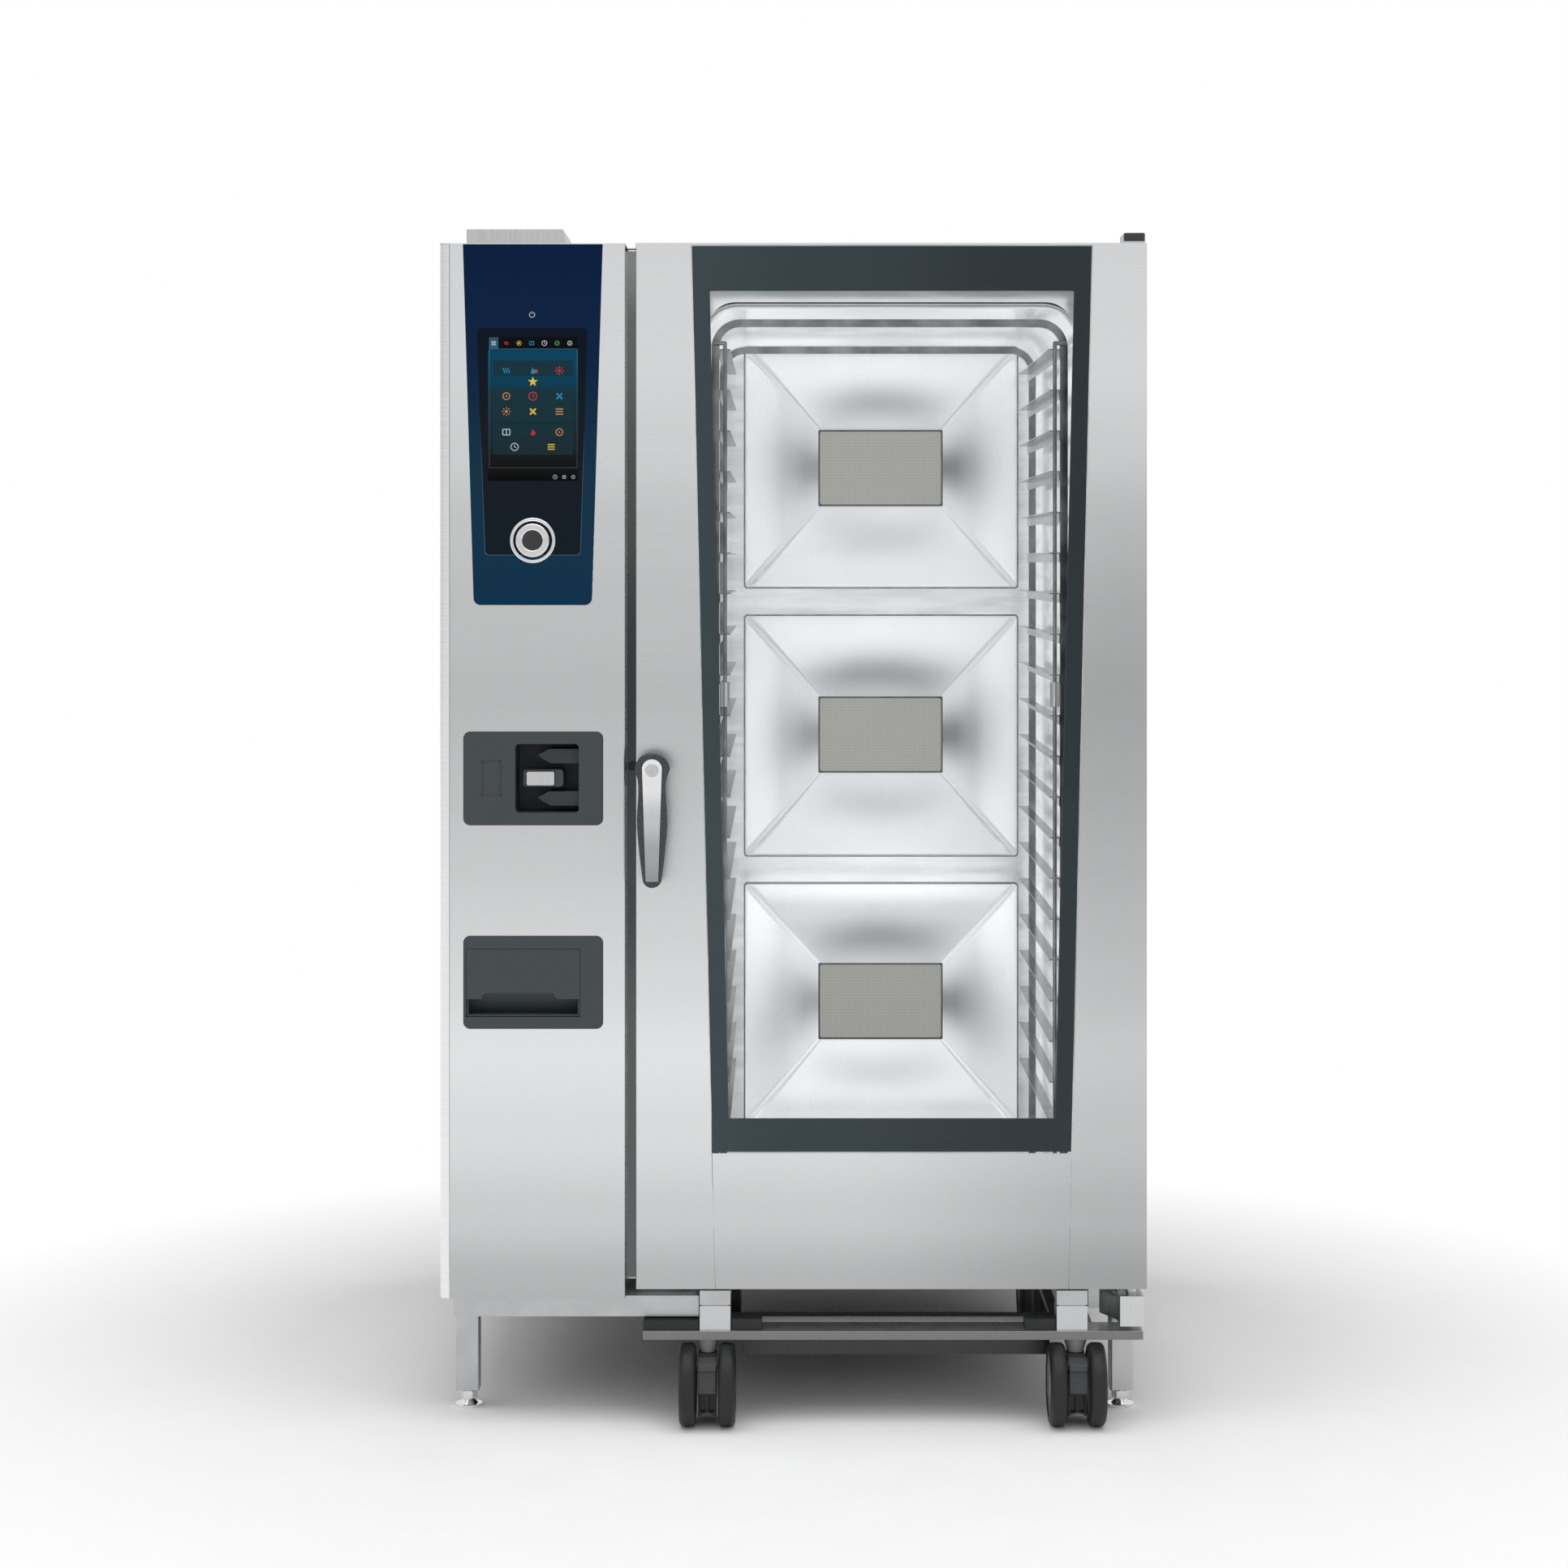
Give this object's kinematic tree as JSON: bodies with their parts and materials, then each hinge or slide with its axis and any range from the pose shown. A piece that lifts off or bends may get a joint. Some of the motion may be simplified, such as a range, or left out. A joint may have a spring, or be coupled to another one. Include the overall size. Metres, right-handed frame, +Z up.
{
  "type": "combi steamer oven",
  "caption": "Floor-standing combi steamer oven with a glazed side-hinged door, touch control column, three fans and a wheeled rack of container rails.",
  "frame": {"origin": "on the floor, centre of the overall envelope seen from above", "axes": "+X to the right seen from the front, +Y to the back (the door faces -Y), +Z up"},
  "size_m": [1.082, 1.117, 1.858],
  "materials": {
    "stainless": "brushed",
    "polished": "polished",
    "dark_plastic": "fine grain",
    "black_gloss": "gloss",
    "control_glass": "gloss",
    "window_glass": "clear",
    "seal": "soft",
    "caster_grey": "moulded",
    "caster_tyre": "moulded",
    "wool": "mineral wool",
    "motor_paint": "satin paint",
    "brass": "cast"
  },
  "bodies": {
    "cabinet": {"base_frame": "stainless", "legs": "stainless", "levelling_feet": "polished", "left_side_panel": "stainless", "right_side_panel": "stainless", "top_cover": "stainless", "rear_panel": "stainless", "vent_stack": "stainless", "front_cover": "stainless", "control_glass": "control_glass", "touch_display": "black_gloss", "dial_bezel": "polished", "shower_module": "dark_plastic", "care_frame": "dark_plastic", "door_gasket": "seal", "cooking_chamber": "stainless", "insulation": "wool", "hinge_brackets": "stainless", "hinge_cap": "black_gloss", "air_baffles": "stainless", "fan_motors": "motor_paint", "heating_coils": "stainless", "steam_generator": "stainless", "water_inlets": "brass", "drain_pipes": "dark_plastic"},
    "door": {"door_skin": "stainless", "door_inner_frame": "stainless", "outer_glass": "window_glass", "inner_glass": "window_glass", "hinge_fittings": "stainless"},
    "handle": {"handle_grip": "dark_plastic", "handle_plate": "polished", "handle_screw": "polished", "latch_spindle": "stainless"},
    "dial": {"dial_ring": "polished"},
    "dial_push": {"dial_button": "black_gloss"},
    "flap": {"socket_flap": "dark_plastic"},
    "shower": {"shower_head": "dark_plastic"},
    "shower_trigger": {"shower_lever": "polished"},
    "drawer": {"care_drawer": "dark_plastic"},
    "fan_top": {"fan_wheel_top": "stainless"},
    "fan_middle": {"fan_wheel_middle": "stainless"},
    "fan_bottom": {"fan_wheel_bottom": "stainless"},
    "rack": {"rack_hoops": "stainless", "rack_rails": "stainless", "rack_frame": "stainless", "retaining_bars": "stainless", "rack_base": "stainless", "bumper_pads": "seal"},
    "caster_front_left": {"caster_fork_front_left": "caster_grey"},
    "wheels_front_left": {"caster_wheels_front_left": "caster_tyre"},
    "caster_front_right": {"caster_fork_front_right": "caster_grey"},
    "wheels_front_right": {"caster_wheels_front_right": "caster_tyre"},
    "caster_rear_left": {"caster_fork_rear_left": "caster_grey"},
    "wheels_rear_left": {"caster_wheels_rear_left": "caster_tyre"},
    "caster_rear_right": {"caster_fork_rear_right": "caster_grey"},
    "wheels_rear_right": {"caster_wheels_rear_right": "caster_tyre"},
    "brake_left": {"brake_pedal_left": "caster_grey"},
    "brake_right": {"brake_pedal_right": "caster_grey"}
  },
  "joints": [
    {"name": "door_swing", "type": "hinge", "parent": "cabinet", "child": "door", "pos_m": [0.52, -0.46, 1], "axis": [0, 0, 1], "range_deg": [0, 180]},
    {"name": "handle_turn", "type": "hinge", "parent": "door", "child": "handle", "pos_m": [-0.2135, -0.52, 1.004], "axis": [0, 1, 0], "range_deg": [-90, 90]},
    {"name": "dial_turn", "type": "hinge", "parent": "cabinet", "child": "dial", "pos_m": [-0.398, -0.4965, 1.352], "axis": [0, -1, 0], "continuous": true},
    {"name": "dial_press", "type": "slide", "parent": "cabinet", "child": "dial_push", "axis": [0, 1, 0], "range_m": [0, 0.0015]},
    {"name": "flap_open", "type": "hinge", "parent": "cabinet", "child": "flap", "pos_m": [-0.4733, -0.496, 0.99], "axis": [0, 0, -1], "range_deg": [0, 110]},
    {"name": "shower_pull", "type": "slide", "parent": "cabinet", "child": "shower", "axis": [0, -1, 0], "range_m": [0, 0.3]},
    {"name": "shower_squeeze", "type": "hinge", "parent": "shower", "child": "shower_trigger", "pos_m": [-0.3685, -0.483, 0.988], "axis": [0, 0, -1], "range_deg": [0, 5]},
    {"name": "drawer_pull", "type": "slide", "parent": "cabinet", "child": "drawer", "axis": [0, -1, 0], "range_m": [0, 0.15]},
    {"name": "fan_spin_top", "type": "hinge", "parent": "cabinet", "child": "fan_top", "pos_m": [0.158, 0.4, 1.487], "axis": [0, 1, 0], "continuous": true},
    {"name": "fan_spin_middle", "type": "hinge", "parent": "cabinet", "child": "fan_middle", "pos_m": [0.158, 0.4, 1.012], "axis": [0, 1, 0], "continuous": true},
    {"name": "fan_spin_bottom", "type": "hinge", "parent": "cabinet", "child": "fan_bottom", "pos_m": [0.158, 0.4, 0.537], "axis": [0, 1, 0], "continuous": true},
    {"name": "rack_roll", "type": "slide", "parent": "cabinet", "child": "rack", "axis": [0, -1, 0], "range_m": [0, 0.012]},
    {"name": "swivel_front_left", "type": "hinge", "parent": "rack", "child": "caster_front_left", "pos_m": [-0.131, -0.476, 0.12], "axis": [0, 0, 1], "continuous": true},
    {"name": "roll_front_left", "type": "hinge", "parent": "caster_front_left", "child": "wheels_front_left", "pos_m": [-0.131, -0.496, 0.0625], "axis": [1, 0, 0], "continuous": true},
    {"name": "swivel_front_right", "type": "hinge", "parent": "rack", "child": "caster_front_right", "pos_m": [0.433, -0.476, 0.12], "axis": [0, 0, 1], "continuous": true},
    {"name": "roll_front_right", "type": "hinge", "parent": "caster_front_right", "child": "wheels_front_right", "pos_m": [0.433, -0.496, 0.0625], "axis": [1, 0, 0], "continuous": true},
    {"name": "swivel_rear_left", "type": "hinge", "parent": "rack", "child": "caster_rear_left", "pos_m": [-0.131, 0.17, 0.12], "axis": [0, 0, 1], "continuous": true},
    {"name": "roll_rear_left", "type": "hinge", "parent": "caster_rear_left", "child": "wheels_rear_left", "pos_m": [-0.131, 0.15, 0.0625], "axis": [1, 0, 0], "continuous": true},
    {"name": "swivel_rear_right", "type": "hinge", "parent": "rack", "child": "caster_rear_right", "pos_m": [0.433, 0.17, 0.12], "axis": [0, 0, 1], "continuous": true},
    {"name": "roll_rear_right", "type": "hinge", "parent": "caster_rear_right", "child": "wheels_rear_right", "pos_m": [0.433, 0.15, 0.0625], "axis": [1, 0, 0], "continuous": true},
    {"name": "brake_left_lift", "type": "hinge", "parent": "caster_front_left", "child": "brake_left", "pos_m": [-0.131, -0.502, 0.095], "axis": [-1, 0, 0], "range_deg": [0, 20]},
    {"name": "brake_right_lift", "type": "hinge", "parent": "caster_front_right", "child": "brake_right", "pos_m": [0.433, -0.502, 0.095], "axis": [-1, 0, 0], "range_deg": [0, 20]}
  ]
}
